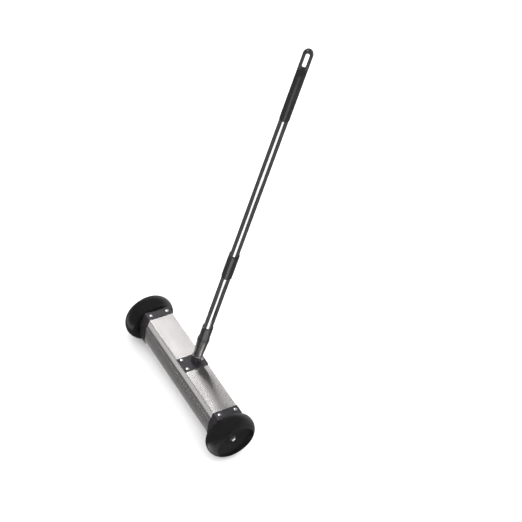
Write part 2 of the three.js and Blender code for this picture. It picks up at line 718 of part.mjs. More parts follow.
// ---------------------------------------------------------------- assembly
node('housing_shell', housingShell(), stainless);
node('pickup_plate', pickupPlate(), stainless);
node('magnet_yoke', yoke(), yokeSteel);
for (let i = 0; i < MAGNET.count; i += 1) {
  node(`magnet_${i + 1}`, magnetBlock(i), ferrite);
}

for (const side of [-1, 1]) {
  const hand = side < 0 ? 'left' : 'right';
  node(`yoke_tie_${hand}`, yokeTie(side), nylon);
  node(`end_cap_${hand}`, onSide(endCap(), side), blackPaint);
  node(`wheel_${hand}`, onSide(wheelShell(), side), wheelPlastic);
  node(`wheel_cover_${hand}`, onSide(wheelCover(), side), wheelPlastic);
  node(`hub_bush_${hand}`, onSide(hubBush(), side), nylon);
  node(`wheel_washer_${hand}`, onSide(outerWasher(), side), blackPaint);
  node(`thrust_washer_${hand}`, onSide(thrustWasher(), side), nylon);
  node(`axle_bolt_${hand}`, onSide(axleBolt(), side), zincSteel);
  node(`axle_nut_${hand}`, onSide(axleNut(), side), zincSteel);
  node(`pivot_spacer_${hand}`, pivotSpacer(side), zincSteel);
}

for (const { x, y, side, row } of capRivetSpots) {
  const hand = side < 0 ? 'left' : 'right';
  const end = row < 0 ? 'front' : 'back';
  node(`cap_rivet_${hand}_${end}`, rivet().translate(x, y, 0), zincSteel);
}
for (const { x, y, name } of bracketRivetSpots) {
  node(name, rivet().translate(x, y, 0), zincSteel);
}

node('handle_bracket', handleBracket(), blackPaint);
node('bracket_backing_plate', backingPlate(), yokeSteel);
node('pivot_bolt', pivotBolt(), blackPaint);
node('pivot_nut', pivotNut(), zincSteel);

handle.position.set(0, PIVOT.y, PIVOT.z);
handle.rotation.x = -HANDLE_LEAN;
root.add(handle);
node('handle_socket', handleSocket(), blackPlastic, handle);
node('socket_ferrule', ferrule(), zincSteel, handle);
node('clamp_ring', clampRing(), blackPlastic, handle);
node('socket_screw', socketScrew(), zincSteel, handle);
node('lower_tube', lowerTube(), tubeSteel, handle);
node('collet', collet(), nylon, handle);
node('twist_collar', twistCollar(), blackPlastic, handle);
node('guide_plug', guidePlug(), nylon, handle);

upperHandle.rotation.z = GRIP_TURN;
handle.add(upperHandle);
node('upper_tube', upperTube(), tubeSteel, upperHandle);
node('hand_grip', handGrip(), blackPlastic, upperHandle);

// The origin sits on the floor in the middle of the sweeper's footprint box.
root.updateMatrixWorld(true);
const extent = new THREE.Box3().setFromObject(root, true);
const middle = extent.getCenter(new THREE.Vector3());
root.position.set(-middle.x, -middle.y, -extent.min.z);

export default root;
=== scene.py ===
"""Looks of a rolling magnetic sweeper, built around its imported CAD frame.

Lengths in the modelling code are millimetres. Each piece is made in a frame of its own (housing, wheel or
handle) and placed by that frame's matrix, which comes from the CAD joints.
"""
import json
import math

import bmesh
import bpy
from mathutils import Matrix, Vector


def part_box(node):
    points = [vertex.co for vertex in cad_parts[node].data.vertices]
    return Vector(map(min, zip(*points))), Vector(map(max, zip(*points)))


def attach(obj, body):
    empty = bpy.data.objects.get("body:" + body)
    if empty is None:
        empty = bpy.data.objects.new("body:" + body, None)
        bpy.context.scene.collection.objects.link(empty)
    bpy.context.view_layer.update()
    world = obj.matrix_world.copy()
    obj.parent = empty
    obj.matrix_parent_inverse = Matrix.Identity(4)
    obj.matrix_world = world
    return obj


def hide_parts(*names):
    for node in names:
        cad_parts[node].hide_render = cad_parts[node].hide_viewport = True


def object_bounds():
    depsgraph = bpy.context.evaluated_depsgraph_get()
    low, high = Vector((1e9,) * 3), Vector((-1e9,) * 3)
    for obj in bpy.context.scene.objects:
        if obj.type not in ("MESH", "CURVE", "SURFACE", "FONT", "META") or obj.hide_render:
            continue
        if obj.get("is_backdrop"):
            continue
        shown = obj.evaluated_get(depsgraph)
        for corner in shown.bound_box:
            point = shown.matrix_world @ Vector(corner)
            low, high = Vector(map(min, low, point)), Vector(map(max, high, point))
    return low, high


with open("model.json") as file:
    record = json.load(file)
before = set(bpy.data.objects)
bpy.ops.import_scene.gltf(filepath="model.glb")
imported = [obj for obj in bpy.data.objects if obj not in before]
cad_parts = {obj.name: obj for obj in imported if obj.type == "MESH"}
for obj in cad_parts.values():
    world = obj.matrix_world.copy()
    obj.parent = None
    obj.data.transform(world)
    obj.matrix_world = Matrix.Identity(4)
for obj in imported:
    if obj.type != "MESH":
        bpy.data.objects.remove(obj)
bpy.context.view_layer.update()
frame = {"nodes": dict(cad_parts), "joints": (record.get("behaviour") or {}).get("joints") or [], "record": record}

MM = 0.001
HANDS = {"left": -1, "right": 1}


# -------- frames taken from the CAD joints
def joint(name):
    return next(entry for entry in frame["joints"] if entry["name"] == name)


def basis(x_axis, y_axis, z_axis, origin):
    turn = Matrix((x_axis, y_axis, z_axis)).transposed().to_4x4()
    return Matrix.Translation(origin) @ turn


WHEEL_CENTRE = Vector(joint("wheel_right_spin")["pos_m"])
PIVOT = Vector(joint("handle_tilt")["pos_m"])
HANDLE_AXIS = Vector(joint("tube_slide")["axis"])

X_AXIS = Vector((1, 0, 0))
Y_AXIS = Vector((0, 1, 0))
Z_AXIS = Vector((0, 0, 1))

HOUSING_FRAME = Matrix.Translation((0, WHEEL_CENTRE.y, 0))
HANDLE_FRAME = basis(X_AXIS, HANDLE_AXIS.cross(X_AXIS), HANDLE_AXIS, PIVOT)
GRIP_FRAME = HANDLE_FRAME @ Matrix.Rotation(math.radians(45), 4, "Z")
# Across the bracket: local Z runs along the pivot bolt.
PIVOT_FRAME = basis(Y_AXIS, Z_AXIS, X_AXIS, PIVOT)


def wheel_frame(side):
    """Local Z points outwards along the axle, from the middle of the sweeper."""
    origin = (0, WHEEL_CENTRE.y, WHEEL_CENTRE.z)
    return basis(Y_AXIS * side, Z_AXIS, X_AXIS * side, origin)


def span(node, place):
    """Lowest and highest corner of a CAD node, in millimetres, in the frame given by its matrix."""
    inverse = place.inverted()
    points = [inverse @ vertex.co / MM for vertex in frame["nodes"][node].data.vertices]
    low = Vector(min(point[axis] for point in points) for axis in range(3))
    high = Vector(max(point[axis] for point in points) for axis in range(3))
    return low, high


# -------- mesh building
ARC_STEP = math.radians(10)
SMOOTH_ANGLE = math.radians(32)
# Share of the half width that rounds an end fully, just short of two arcs meeting in one point.
HALF_ROUND = 0.999
# Reach of a cutter, to each side, that passes right through a part.
THROUGH = 20


def rounded(corners, closed=True):
    """Points of an outline through (x, y) or (x, y, radius) corners, each radius turned into an arc."""
    points = []
    count = len(corners)
    for index, (x, y, *rest) in enumerate(corners):
        here = Vector((x, y))
        radius = rest[0] if rest else 0
        at_end = not closed and index in (0, count - 1)
        if radius == 0 or at_end:
            points.append(here)
            continue
        before = (Vector(corners[index - 1][:2]) - here).normalized()
        after = (Vector(corners[(index + 1) % count][:2]) - here).normalized()
        half = before.angle(after) / 2
        centre = here + (before + after).normalized() * (radius / math.sin(half))
        first = here + before * (radius / math.tan(half)) - centre
        last = here + after * (radius / math.tan(half)) - centre
        sweep = math.atan2(first.cross(last), first.dot(last))
        steps = max(2, math.ceil(abs(sweep) / ARC_STEP))
        for step in range(steps + 1):
            points.append(centre + Matrix.Rotation(sweep * step / steps, 2) @ first)
    return points


def path_lengths(points, closed):
    total = 0
    lengths = [0]
    ring = list(points) + ([points[0]] if closed else [])
    for first, second in zip(ring, ring[1:]):
        total += (Vector(second) - Vector(first)).length
        lengths.append(total)
    return lengths


def sunk(points, index, loop, depth):
    """Point of a profile, moved into the body at right angles to the profile."""
    point = points[index]
    before = points[index - 1] if index or loop else point
    after = points[(index + 1) % len(points)] if index + 1 < len(points) or loop else point
    along = (after - before).normalized()
    return point - Vector((along.y, -along.x)) * depth


def lathe(profile, segments, loop=False, groove=None):
    """Body turned about Z from (radius, height) points, which end on the axis or, as a loop, on themselves.

    groove(point, angle) says how far a point sinks below the surface at that angle.
    """
    mesh = bmesh.new()
    uv_layer = mesh.loops.layers.uv.new("UVMap")
    points = [Vector(point[:2]) for point in profile]
    count = len(points)
    lengths = path_lengths(points, loop)
    rings = []
    for segment in range(segments):
        angle = 2 * math.pi * segment / segments
        ring = []
        for index, point in enumerate(points):
            moved = sunk(points, index, loop, groove(point, angle)) if groove else point
            place = (moved.x * math.cos(angle), moved.x * math.sin(angle), moved.y)
            ring.append(mesh.verts.new(Vector(place) * MM))
        rings.append(ring)
    for segment in range(segments):
        here = rings[segment]
        there = rings[(segment + 1) % segments]
        for index in range(count if loop else count - 1):
            following = (index + 1) % count
            face = mesh.faces.new((here[index], there[index], there[following], here[following]))
            turns = ((segment, index), (segment + 1, index), (segment + 1, index + 1), (segment, index + 1))
            for corner, (turn, step) in zip(face.loops, turns):
                corner[uv_layer].uv = (turn / segments, lengths[step] * MM)
    bmesh.ops.remove_doubles(mesh, verts=mesh.verts, dist=MM * 1e-4)
    bmesh.ops.recalc_face_normals(mesh, faces=mesh.faces)
    return mesh


def prism(outline, low, high, place=Matrix.Identity(4)):
    """Outline in the local X-Y plane, given depth along local Z."""
    mesh = bmesh.new()
    bottom = [mesh.verts.new(Vector((x, y, low)) * MM) for x, y in outline]
    top = [mesh.verts.new(Vector((x, y, high)) * MM) for x, y in outline]
    mesh.faces.new(reversed(bottom))
    mesh.faces.new(top)
    for index in range(len(outline)):
        following = (index + 1) % len(outline)
        mesh.faces.new((bottom[index], bottom[following], top[following], top[index]))
    mesh.transform(place)
    bmesh.ops.recalc_face_normals(mesh, faces=mesh.faces)
    return mesh


def rectangle(x_low, x_high, y_low, y_high, radius=0):
    corners = ((x_high, y_low), (x_high, y_high), (x_low, y_high), (x_low, y_low))
    return rounded([(x, y, radius) for x, y in corners])


def stadium(low, high, half_width):
    """Outline of a slot along local Y, with half-round ends."""
    return rectangle(-half_width, half_width, low, high, half_width * HALF_ROUND)


def evenly_spaced(start, end, steps):
    return [start + (end - start) * step / steps for step in range(steps + 1)]


# Turns a prism's depth direction: local Z of the outline becomes X, or becomes Y.
DEPTH_ALONG_X = Matrix(((0, 0, 1, 0), (1, 0, 0, 0), (0, 1, 0, 0), (0, 0, 0, 1)))
DEPTH_ALONG_Y = Matrix(((1, 0, 0, 0), (0, 0, -1, 0), (0, 1, 0, 0), (0, 0, 0, 1)))


def rod(radius, low, high, place=Matrix.Identity(4), segments=48):
    mesh = lathe([(0, low), (radius, low), (radius, high), (0, high)], segments)
    mesh.transform(place)
    return mesh


def as_object(name, mesh):
    data = bpy.data.meshes.new(name)
    mesh.to_mesh(data)
    mesh.free()
    made = bpy.data.objects.new(name, data)
    bpy.context.scene.collection.objects.link(made)
    return made


def apply_modifiers(made):
    depsgraph = bpy.context.evaluated_depsgraph_get()
    data = bpy.data.meshes.new_from_object(made.evaluated_get(depsgraph))
    old = made.data
    made.modifiers.clear()
    made.data = data
    bpy.data.meshes.remove(old)


def combined(base, operation, *tools):
    """Boolean of a bmesh with others: DIFFERENCE, UNION or INTERSECT."""
    made = as_object("work", base)
    helpers = [as_object("tool", tool) for tool in tools]
    for helper in helpers:
        modifier = made.modifiers.new("boolean", "BOOLEAN")
        modifier.operation = operation
        modifier.solver = "EXACT"
        modifier.object = helper
    apply_modifiers(made)
    result = bmesh.new()
    result.from_mesh(made.data)
    for helper in (made, *helpers):
        data = helper.data
        bpy.data.objects.remove(helper)
        bpy.data.meshes.remove(data)
    return result


def soften(made, width, segments=3, angle=math.radians(35)):
    """Rounds the sharp edges of a piece, width in millimetres."""
    bevel = made.modifiers.new("soft_edges", "BEVEL")
    bevel.width = width * MM
    bevel.segments = segments
    bevel.limit_method = "ANGLE"
    bevel.angle_limit = angle
    bevel.use_clamp_overlap = True
    apply_modifiers(made)


def piece(node, mesh, place, edge=0, smooth=SMOOTH_ANGLE):
    """Finished piece that stands for a CAD node, and takes that node's body and the material of its slot."""
    made = as_object("detailed_" + node, mesh)
    if edge:
        soften(made, edge)
    made.data.shade_smooth()
    made.data.set_sharp_from_angle(angle=smooth)
    flat_faces = made.modifiers.new("flat_faces", "WEIGHTED_NORMAL")
    flat_faces.keep_sharp = True
    flat_faces.weight = 90
    apply_modifiers(made)
    made.data.materials.clear()
    made.data.materials.append(surface(node))
    made.matrix_world = place
    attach(made, BODY_OF[node])
    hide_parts(node)
    PIECES[node] = made


NODES_OF = frame["record"]["behaviour"]["bodies"]
BODY_OF = {node: body for body, nodes in NODES_OF.items() for node in nodes}
SLOT_OF = {part["node"]: part["material_slot"] for part in frame["record"]["subparts"]}
PIECES = {}


# -------- materials
# Places of the colour sockets in a Mix node's inputs and outputs.
MIX_FIRST, MIX_SECOND = 6, 7
MIX_RESULT = 2


class Nodes:
    """Adds linked nodes to the node tree of a material or a world."""

    def __init__(self, tree):
        self.tree = tree

    def add(self, kind, output=0, links=None, values=None, **properties):
        """Adds a node and returns one of its outputs."""
        node = self.tree.nodes.new("ShaderNode" + kind)
        for key, value in properties.items():
            setattr(node, key, value)
        for key, value in (values or {}).items():
            node.inputs[key].default_value = value
        for key, source in (links or {}).items():
            self.tree.links.new(source, node.inputs[key])
        return node.outputs[output]

    def ramp(self, source, low, high, start=0, end=1):
        """Maps a source between start and end to numbers between low and high."""
        values = {"From Min": start, "From Max": end, "To Min": low, "To Max": high}
        return self.add("MapRange", links={"Value": source}, values=values)

    def math(self, operation, first, second):
        return self.add("Math", links={0: first, 1: second}, operation=operation)


class Shader(Nodes):
    """A material with a Principled shader, built from object coordinates in metres."""

    def __init__(self, name, **settings):
        self.material = bpy.data.materials.new(name)
        self.material.use_nodes = True
        super().__init__(self.material.node_tree)
        self.surface = self.tree.nodes["Principled BSDF"]
        self.place = self.add("TexCoord", output="Object")
        for socket, value in settings.items():
            self.surface.inputs[socket.replace("_", " ")].default_value = value

    def feed(self, socket, source):
        self.tree.links.new(source, self.surface.inputs[socket])

    def stretched(self, scale):
        """Object coordinates scaled by a different amount along each axis."""
        return self.add("Mapping", links={"Vector": self.place}, values={"Scale": scale})

    def noise(self, scale, detail=3, roughness=0.55, stretch=None):
        where = self.stretched(stretch) if stretch else self.place
        values = {"Scale": scale, "Detail": detail, "Roughness": roughness}
        return self.add("TexNoise", links={"Vector": where}, values=values)

    def tint(self, source, low, high, start=0.3, end=0.7):
        """Blends two colours by a source between start and end."""
        share = self.ramp(source, 0, 1, start, end)
        return self.blend(share, (*low, 1), (*high, 1))

    def blend(self, share, first, second):
        """Mixes a colour, fixed or from another node, with a second, fixed one."""
        links = {"Factor": share}
        values = {MIX_SECOND: second}
        given = links if isinstance(first, bpy.types.NodeSocket) else values
        given[MIX_FIRST] = first
        return self.add("Mix", output=MIX_RESULT, links=links, values=values, data_type="RGBA")

    def edges(self, radius):
        """One along worn edges, nought on flat faces."""
        soft = self.add("Bevel", values={"Radius": radius * MM}, samples=4)
        hard = self.add("NewGeometry", output="Normal")
        facing = self.add("VectorMath", output="Value", links={0: soft, 1: hard}, operation="DOT_PRODUCT")
        return self.ramp(facing, 1, 0, 0.82, 0.995)

    def bump(self, heights):
        """Bump from (height source, depth in millimetres) pairs, one on top of the other."""
        normal = None
        for source, depth in heights:
            links = {"Height": source}
            if normal:
                links["Normal"] = normal
            normal = self.add("Bump", links=links, values={"Distance": depth * MM, "Strength": 1.0})
        self.feed("Normal", normal)


def brushed_stainless():
    """Satin sheet, brushed along X, with faint handling marks."""
    shader = Shader("brushed_stainless", Metallic=1.0, Anisotropic=0.75, Anisotropic_Rotation=0.25)
    grain = shader.noise(1, detail=4, roughness=0.7, stretch=(12, 1900, 1900))
    strokes = shader.noise(1, detail=2, stretch=(5, 420, 420))
    marks = shader.noise(14, detail=4, roughness=0.6)
    base = shader.tint(strokes, (0.70, 0.675, 0.668), (0.80, 0.775, 0.768))
    dulled = shader.ramp(grain, 0, 0.35, 0.45, 0.75)
    shader.feed("Base Color", shader.blend(dulled, base, (0.62, 0.60, 0.60, 1)))
    satin = shader.ramp(grain, 0.19, 0.26, 0.3, 0.7)
    shader.feed("Roughness", shader.math("ADD", satin, shader.ramp(marks, -0.004, 0.014, 0.35, 0.75)))
    tangent = shader.add("Tangent", direction_type="UV_MAP", uv_map="UVMap")
    shader.feed("Tangent", tangent)
    shader.bump([(grain, 0.010), (marks, 0.004)])
    return shader.material


def tube_steel():
    """Drawn steel tube with a bright finish, fine lines round it and a few long rubs from sliding."""
    shader = Shader("bright_tube", Metallic=1.0)
    rings = shader.noise(1, detail=3, stretch=(60, 60, 1500))
    rubs = shader.noise(1, detail=4, roughness=0.65, stretch=(900, 900, 9))
    smudge = shader.noise(22, detail=3)
    shader.feed("Base Color", shader.tint(smudge, (0.60, 0.60, 0.61), (0.70, 0.70, 0.71)))
    polish = shader.ramp(rings, 0.09, 0.14, 0.3, 0.7)
    shader.feed("Roughness", shader.math("ADD", polish, shader.ramp(rubs, 0, 0.12, 0.55, 0.8)))
    shader.bump([(rings, 0.004), (rubs, 0.006)])
    return shader.material


def zinc_steel():
    """Bright zinc plate, slightly mottled, dulled where it is rubbed."""
    shader = Shader("zinc_plate", Metallic=1.0)
    spangle = shader.add("TexVoronoi", links={"Vector": shader.place}, values={"Scale": 900})
    film = shader.noise(160, detail=4)
    shader.feed("Base Color", shader.tint(film, (0.78, 0.78, 0.79), (0.90, 0.90, 0.90)))
    dull = shader.ramp(spangle, 0.22, 0.36, 0, 0.6)
    shader.feed("Roughness", shader.math("ADD", dull, shader.ramp(film, 0, 0.1, 0.4, 0.7)))
    shader.bump([(film, 0.02)])
    return shader.material


def black_paint():
    """Powder coat with a fine orange peel, thinned to grey metal along its edges."""
    shader = Shader("powder_coat", Coat_Weight=0.15, Coat_Roughness=0.3)
    peel = shader.noise(900, detail=2)
    cloud = shader.noise(60, detail=4)
    chips = shader.noise(420, detail=3)
    coat = shader.tint(cloud, (0.015, 0.013, 0.016), (0.023, 0.020, 0.025))
    worn = shader.math("MULTIPLY", shader.edges(0.5), shader.ramp(chips, 0, 1, 0.42, 0.62))
    shader.feed("Base Color", shader.blend(worn, coat, (0.19, 0.185, 0.19, 1)))
    shader.feed("Roughness", shader.ramp(cloud, 0.36, 0.50, 0.3, 0.7))
    shader.bump([(peel, 0.03), (cloud, 0.02)])
    return shader.material


def moulded_black(name, dark, light, roughness, grain_scale, grain_depth, sheen):
    """Moulded black plastic: spark-eroded grain, flow clouding and paler rubbed edges."""
    shader = Shader(name, Specular_IOR_Level=sheen)
    grain = shader.noise(grain_scale, detail=3, roughness=0.6)
    flow = shader.noise(1, detail=4, stretch=(35, 35, 14))
    scuff = shader.noise(240, detail=4, roughness=0.7)
    body = shader.tint(flow, dark, light)
    rubbed = shader.math("MULTIPLY", shader.edges(0.6), shader.ramp(scuff, 0.2, 1, 0.4, 0.65))
    paler = tuple(channel * 3.2 for channel in light)
    shader.feed("Base Color", shader.blend(rubbed, body, (*paler, 1)))
    low, high = roughness
    shader.feed("Roughness", shader.ramp(scuff, low, high, 0.3, 0.7))
    shader.bump([(grain, grain_depth), (flow, 0.05)])
    return shader.material


def nylon():
    """Natural nylon, slightly translucent and mottled."""
    shader = Shader("natural_nylon", Subsurface_Weight=0.2, Subsurface_Scale=0.002)
    mottle = shader.noise(120, detail=4)
    grain = shader.noise(1400, detail=2)
    shader.feed("Base Color", shader.tint(mottle, (0.60, 0.57, 0.49), (0.72, 0.70, 0.63)))
    shader.feed("Roughness", shader.ramp(mottle, 0.42, 0.58, 0.3, 0.7))
    shader.bump([(grain, 0.02)])
    return shader.material


def ferrite():
    """Sintered magnet ceramic: pitted, with dusty grains and paler ground edges."""
    shader = Shader("sintered_ferrite", Metallic=0.25)
    pits = shader.add("TexVoronoi", links={"Vector": shader.place}, values={"Scale": 700})
    dust = shader.noise(300, detail=5, roughness=0.7)
    stone = shader.tint(dust, (0.022, 0.022, 0.025), (0.060, 0.060, 0.064))
    shader.feed("Base Color", shader.blend(shader.edges(0.8), stone, (0.13, 0.13, 0.135, 1)))
    shader.feed("Roughness", shader.ramp(dust, 0.62, 0.85, 0.3, 0.7))
    shader.bump([(pits, 0.08), (dust, 0.05)])
    return shader.material


def plain_steel():
    """Oiled mild steel with roller marks and a little rust bloom at its edges."""
    shader = Shader("oiled_steel", Metallic=0.9)
    rolled = shader.noise(1, detail=4, stretch=(18, 700, 700))
    bloom = shader.noise(90, detail=5, roughness=0.7)
    metal = shader.tint(rolled, (0.25, 0.25, 0.26), (0.36, 0.36, 0.37))
    rust = shader.math("MULTIPLY", shader.edges(0.9), shader.ramp(bloom, 0, 1, 0.45, 0.6))
    shader.feed("Base Color", shader.blend(rust, metal, (0.20, 0.095, 0.045, 1)))
    shader.feed("Roughness", shader.ramp(bloom, 0.34, 0.55, 0.3, 0.7))
    shader.bump([(rolled, 0.02), (bloom, 0.03)])
    return shader.material


def pale_floor():
    shader = Shader("pale_floor", Roughness=0.9, Specular_IOR_Level=0.1)
    shader.feed("Base Color", shader.tint(shader.noise(3), (0.90, 0.90, 0.90), (0.92, 0.92, 0.92)))
    return shader.material


SURFACES = {
    "stainless": brushed_stainless(),
    "tube_steel": tube_steel(),
    "zinc_steel": zinc_steel(),
    "black_paint": black_paint(),
    "black_plastic": moulded_black(
        "satin_black_plastic", dark=(0.0110, 0.0110, 0.0114), light=(0.0165, 0.0165, 0.0170),
        roughness=(0.28, 0.38), grain_scale=1500, grain_depth=0.012, sheen=0.9),
    "wheel_plastic": moulded_black(
        "wheel_plastic", dark=(0.0050, 0.0050, 0.0052), light=(0.0080, 0.0080, 0.0082),
        roughness=(0.30, 0.38), grain_scale=1200, grain_depth=0.010, sheen=0.4),
    "nylon": nylon(),
    "ferrite": ferrite(),
    "plain_steel": plain_steel(),
}


def surface(node):
    return SURFACES[SLOT_OF[node]]


# -------- magnet housing
# Right half of the housing section: half width, height and corner radius, from the top corner down.
# A narrow flat runs along the top edge, and the side wall steps out below it.
SECTION = (
    (33.0, 113.6, 0),
    (33.87, 112.7, 0),
    (35.6, 96.5, 14),
    (38.9, 87.4, 2.5),
    (34.8, 40.0, 8),
    (26.0, 21.7, 2),
)
SHEET_WALL = 1.0
CAP_GAP = 0.3


def section_outline(grow=0):
    """Housing section as (y, z) points, anticlockwise, moved outwards by a distance."""
    right = [(y, z, radius) for y, z, radius in reversed(SECTION)]
    left = [(-y, z, radius) for y, z, radius in SECTION]
    points = rounded(right + left)
    moved = []
    for index, point in enumerate(points):
        along = (points[(index + 1) % len(points)] - points[index - 1]).normalized()
        moved.append(point + Vector((along.y, -along.x)) * grow)
    return moved


def sheet_tube(outer, inner, low, high):
    """Open-ended thin tube along X between two outlines with as many points; U runs along the tube."""
    mesh = bmesh.new()
    uv_layer = mesh.loops.layers.uv.new("UVMap")
    lengths = path_lengths(outer, True)
    rings = [
        [mesh.verts.new(Vector((x, y, z)) * MM) for y, z in outline]
        for outline, x in ((outer, low), (outer, high), (inner, high), (inner, low))
    ]
    along = (low, high, high, low, low)
    for ring in range(4):
        here = rings[ring]
        there = rings[(ring + 1) % 4]
        for index in range(len(outer)):
            following = (index + 1) % len(outer)
            face = mesh.faces.new((here[index], here[following], there[following], there[index]))
            turns = ((ring, index), (ring, index + 1), (ring + 1, index + 1), (ring + 1, index))
            for corner, (side, step) in zip(face.loops, turns):
                corner[uv_layer].uv = (along[side] * MM, lengths[step] * MM)
    bmesh.ops.recalc_face_normals(mesh, faces=mesh.faces)
    return mesh


def build_housing():
    low, high = span("housing_shell", HOUSING_FRAME)
    mesh = sheet_tube(section_outline(), section_outline(-SHEET_WALL), low.x, high.x)
    piece("housing_shell", mesh, HOUSING_FRAME)


# Slants U a little, so that it also changes across the sheet's end faces.
UV_SLANT = 0.1


def with_lengthwise_uv(mesh):
    """Gives a flat sheet a UV map whose U runs along X, the direction of the brushed finish."""
    uv_layer = mesh.loops.layers.uv.new("UVMap")
    for face in mesh.faces:
        for corner in face.loops:
            x, y, z = corner.vert.co
            corner[uv_layer].uv = (x + UV_SLANT * y, y + z)
    return mesh


def build_pickup_plate():
    """Brushed cover sheet under the magnets."""
    low, high = span("pickup_plate", HOUSING_FRAME)
    outline = rectangle(low.x, high.x, low.y, high.y, 3)
    sheet = with_lengthwise_uv(prism(outline, low.z, high.z))
    piece("pickup_plate", sheet, HOUSING_FRAME, edge=0.3)


CAP_BAND = 1.3
CAP_WALL = 2.5
# The boss is set back from the cap's open edge by its recess.
CAP_BOSS = {"radius": 13, "bore": 4.3, "recess": 5}


def build_end_cap(hand, side):
    """Deep painted cap over the end of the housing, with the axle boss inside."""
    node = "end_cap_" + hand
    low, high = span(node, HOUSING_FRAME)
    inner, outer = (low.x, high.x) if side > 0 else (-high.x, -low.x)
    turned = DEPTH_ALONG_X if side > 0 else Matrix.Scale(-1, 4, X_AXIS) @ DEPTH_ALONG_X
    skin = prism(section_outline(CAP_GAP + CAP_BAND), inner, outer, turned)
    hollow = prism(section_outline(CAP_GAP), inner - THROUGH, outer - CAP_WALL, turned)
    cap = combined(skin, "DIFFERENCE", hollow)
    boss_place = turned @ Matrix.Translation(Vector((0, WHEEL_CENTRE.z, 0)))
    boss = rod(CAP_BOSS["radius"], inner + CAP_BOSS["recess"], outer - CAP_WALL / 2, boss_place)
    bore = rod(CAP_BOSS["bore"], inner, outer + THROUGH, boss_place)
    cap = combined(combined(cap, "UNION", boss), "DIFFERENCE", bore)
    piece(node, cap, HOUSING_FRAME, edge=0.5)


# -------- wheels
# The tread's cross-section is one arc; heights are measured along the axle from the middle of the sweeper.
TREAD_ARC = {"centre_z": 202.2, "radius": 31}
WHEEL_SEGMENTS = 560
RIB_COUNT = 140
RIB_DEPTH = 0.42
RIBS_FROM = 210
LIP_RADIUS = 50
FACE_EDGE = {"radius": 46.5, "z": 219.6}
HUB_FACE_Z = 214.6
HUB_BORE = 8.2
HUB_RADIUS = 15
COVER_RADIUS = 54
WHEEL_WALL = 3.5


def rib_groove(point, angle):
    """Depth of the grooves between the ribs, which run from the tread over the lip to its inner wall."""
    if point.x < FACE_EDGE["radius"] + 0.5 or point.y < RIBS_FROM:
        return 0
    start_fade = min(1, (point.y - RIBS_FROM) / 1.5)
    inner_fade = min(1, (point.x - FACE_EDGE["radius"] - 0.5) / 3)
    wave = 0.5 - 0.5 * math.cos(RIB_COUNT * angle)
    return RIB_DEPTH * start_fade * inner_fade * wave ** 2


def tread_arc(radius, depth, low_z, high_z, steps):
    """Points on the rounded tread, sunk below its surface, between two heights."""
    arc = TREAD_ARC["radius"] - depth
    centre_r = radius - TREAD_ARC["radius"]
    first, last = (math.asin((z - TREAD_ARC["centre_z"]) / arc) for z in (low_z, high_z))
    angles = evenly_spaced(first, last, steps)
    return [
        (centre_r + arc * math.cos(angle), TREAD_ARC["centre_z"] + arc * math.sin(angle))
        for angle in angles
    ]


def wheel_profile(radius, inner_z, outer_z):
    """Closed profile of the moulded wheel: sunken face, rim lip, round tread and open inner side."""
    web_z = FACE_EDGE["z"] - WHEEL_WALL
    back = rounded([
        (HUB_BORE, HUB_FACE_Z),
        (HUB_BORE, inner_z + 1),
        (HUB_RADIUS, inner_z + 1),
        (HUB_RADIUS, HUB_FACE_Z - WHEEL_WALL, 2),
        (FACE_EDGE["radius"], web_z),
    ], closed=False)
    inside = tread_arc(radius, WHEEL_WALL, web_z, inner_z + WHEEL_WALL, 16)
    outside = tread_arc(radius, 0, inner_z, outer_z - 1.4, 44)
    step = [(COVER_RADIUS, inner_z + WHEEL_WALL), (COVER_RADIUS, inner_z)]
    front = rounded([
        outside[-1],
        (LIP_RADIUS + 0.6, outer_z, 0.9),
        (LIP_RADIUS - 0.4, outer_z - 0.2, 0.9),
        (FACE_EDGE["radius"], FACE_EDGE["z"], 1.6),
        (HUB_RADIUS + 2.4, HUB_FACE_Z + 0.3, 2),
        (HUB_RADIUS, HUB_FACE_Z + 0.8, 0.5),
        (HUB_RADIUS - 2, HUB_FACE_Z + 0.8, 0.5),
        (HUB_RADIUS - 2.6, HUB_FACE_Z, 0.3),
        (HUB_BORE, HUB_FACE_Z),
    ], closed=False)
    return [*back, *inside, *step, *outside, *subdivided(front[1:-1], 0.8)]


def subdivided(points, longest):
    """The same path with extra points, so that no step near the ribs is longer than a given length."""
    path = []
    for first, second in zip(points, points[1:]):
        parts = max(1, math.ceil((second - first).length / longest)) if first.x > FACE_EDGE["radius"] else 1
        path += [first.lerp(second, part / parts) for part in range(parts)]
    return [*path, points[-1]]


def build_wheel(hand, side):
    node = "wheel_" + hand
    place = wheel_frame(side)
    low, high = span(node, place)
    profile = wheel_profile(high.y, low.z, high.z)
    mesh = lathe(profile, WHEEL_SEGMENTS, loop=True, groove=rib_groove)
    piece(node, mesh, place, smooth=math.radians(50))


def build_wheel_cover(hand, side):
    """Disc that closes the wheel's inner side, with a shallow moulded ring and a chamfered hub hole."""
    node = "wheel_cover_" + hand
    place = wheel_frame(side)
    low, high = span(node, place)
    inner = HUB_RADIUS + 0.3
    profile = rounded([
        (inner, high.z),
        (inner, low.z, 0.6),
        (32, low.z, 1),
        (33.2, low.z + 1, 1),
        (42.8, low.z + 1, 1),
        (44, low.z, 1),
        (high.y, low.z, 0.4),
        (high.y, high.z),
    ])
    piece(node, lathe(profile, 128, loop=True), place)


def build_turned_ring(node, place, bore, edges, segments=64):
    """Ring round a pin; edges are its corner radii: bottom inner, bottom outer, top outer and top inner."""
    low, high = span(node, place)
    corners = ((bore, low.z), (high.y, low.z), (high.y, high.z), (bore, high.z))
    profile = rounded([(*corner, edge) for corner, edge in zip(corners, edges)])
    piece(node, lathe(profile, segments, loop=True), place)


